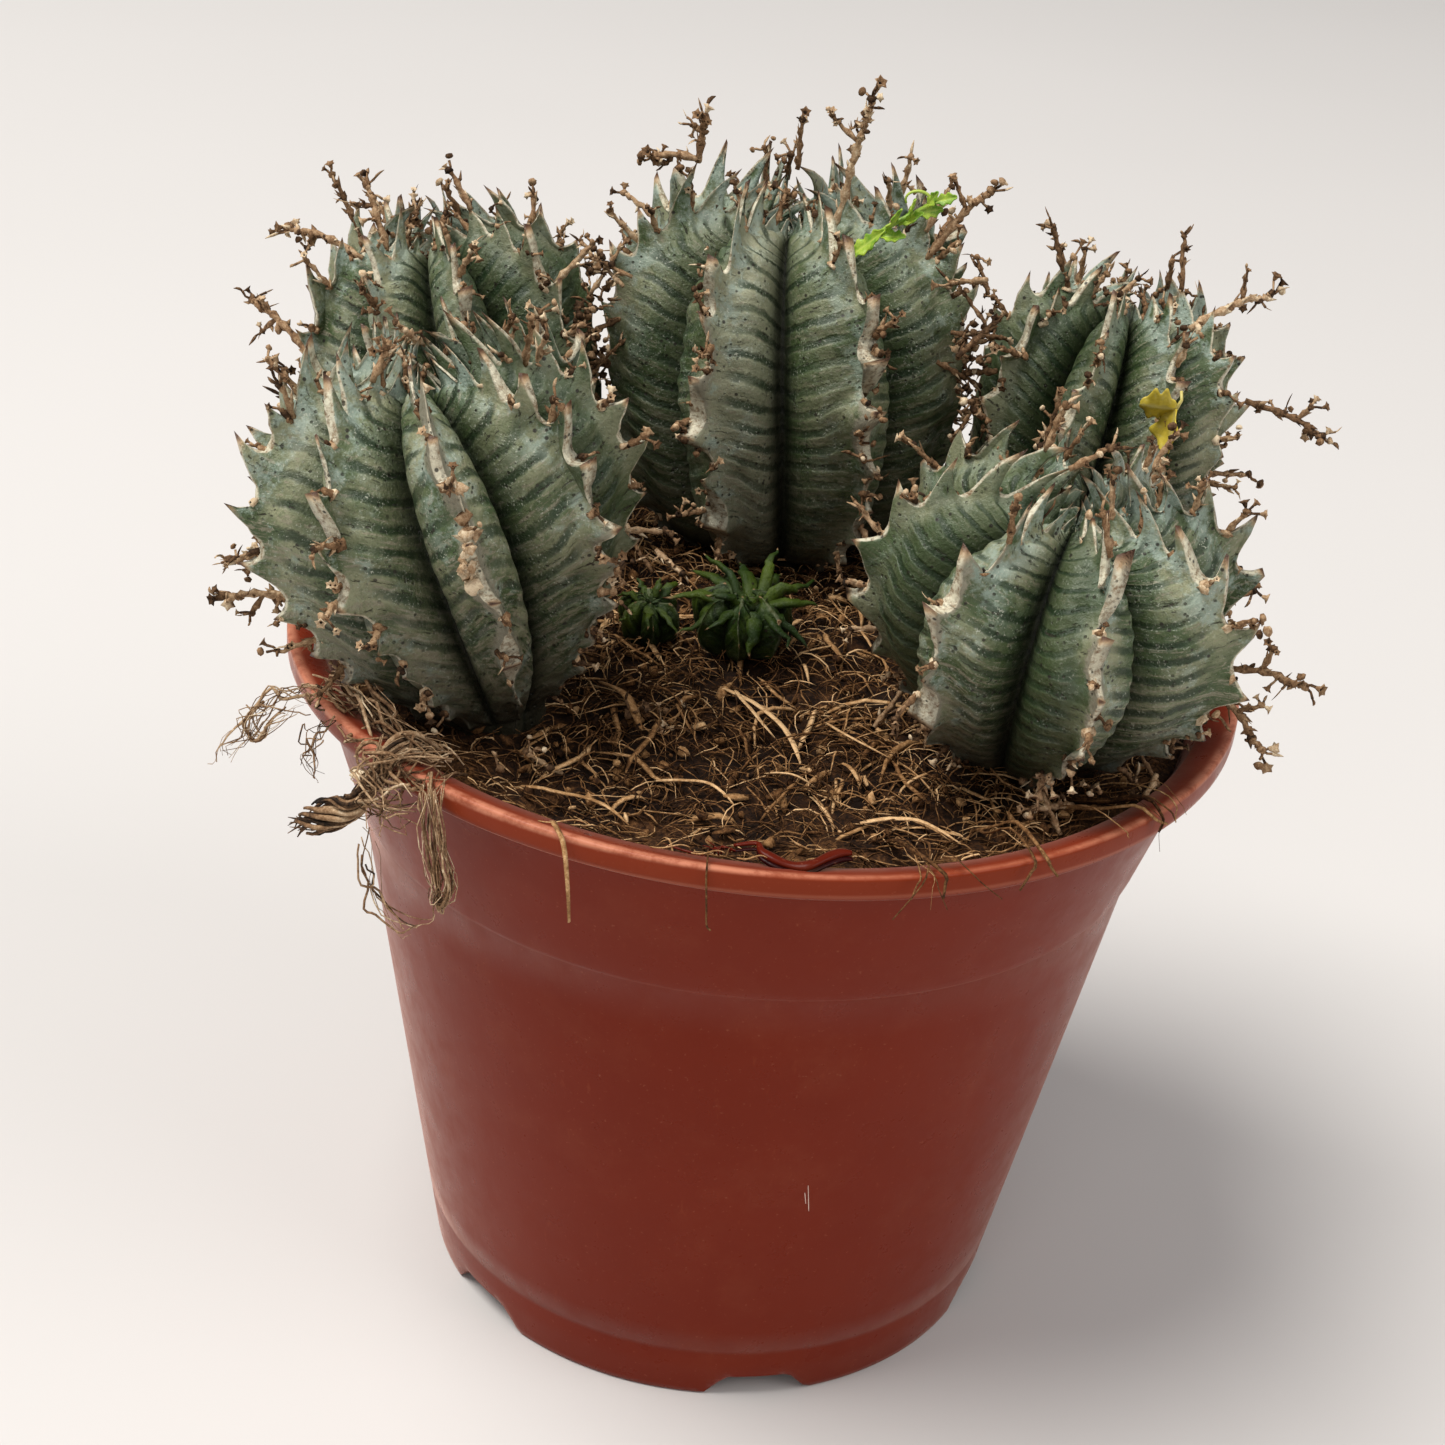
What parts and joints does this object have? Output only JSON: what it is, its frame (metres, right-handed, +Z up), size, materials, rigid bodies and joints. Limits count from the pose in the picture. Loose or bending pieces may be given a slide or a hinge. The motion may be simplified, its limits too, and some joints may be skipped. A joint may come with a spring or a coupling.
{
  "type": "potted african milk barrel",
  "caption": "Clump of ribbed, toothed succulent stems with dried flower stalks, standing in soil in a tapered plastic nursery pot.",
  "frame": {"origin": "centre of the pot's footprint on the surface it stands on, on the pot's own axis", "axes": "+Z up along the pot's axis, -Y towards the front of the plant as pictured, +X to the right of that view"},
  "size_m": [0.2035, 0.1705, 0.2183],
  "materials": {
    "pot_plastic": "semi-matt brown-red moulded plastic",
    "soil_mix": "dry fibrous coir and peat",
    "stem_skin": "waxy grey-green skin, banded, with corky crests",
    "offset_skin": "waxy dark green skin",
    "dry_fibre": "dry root and straw",
    "sprout_green": "fresh green leaf",
    "yellow_leaf": "withered yellow leaf"
  },
  "bodies": {
    "root": {"pot": "pot_plastic", "soil": "soil_mix", "stem_front_left": "stem_skin", "stem_back_left": "stem_skin", "stem_centre": "stem_skin", "stem_back_right": "stem_skin", "stem_front_right": "stem_skin", "offset_large": "offset_skin", "offset_small": "offset_skin", "fibre_clump": "dry_fibre", "weed_sprout": "sprout_green", "fallen_leaf": "yellow_leaf"}
  },
  "joints": []
}
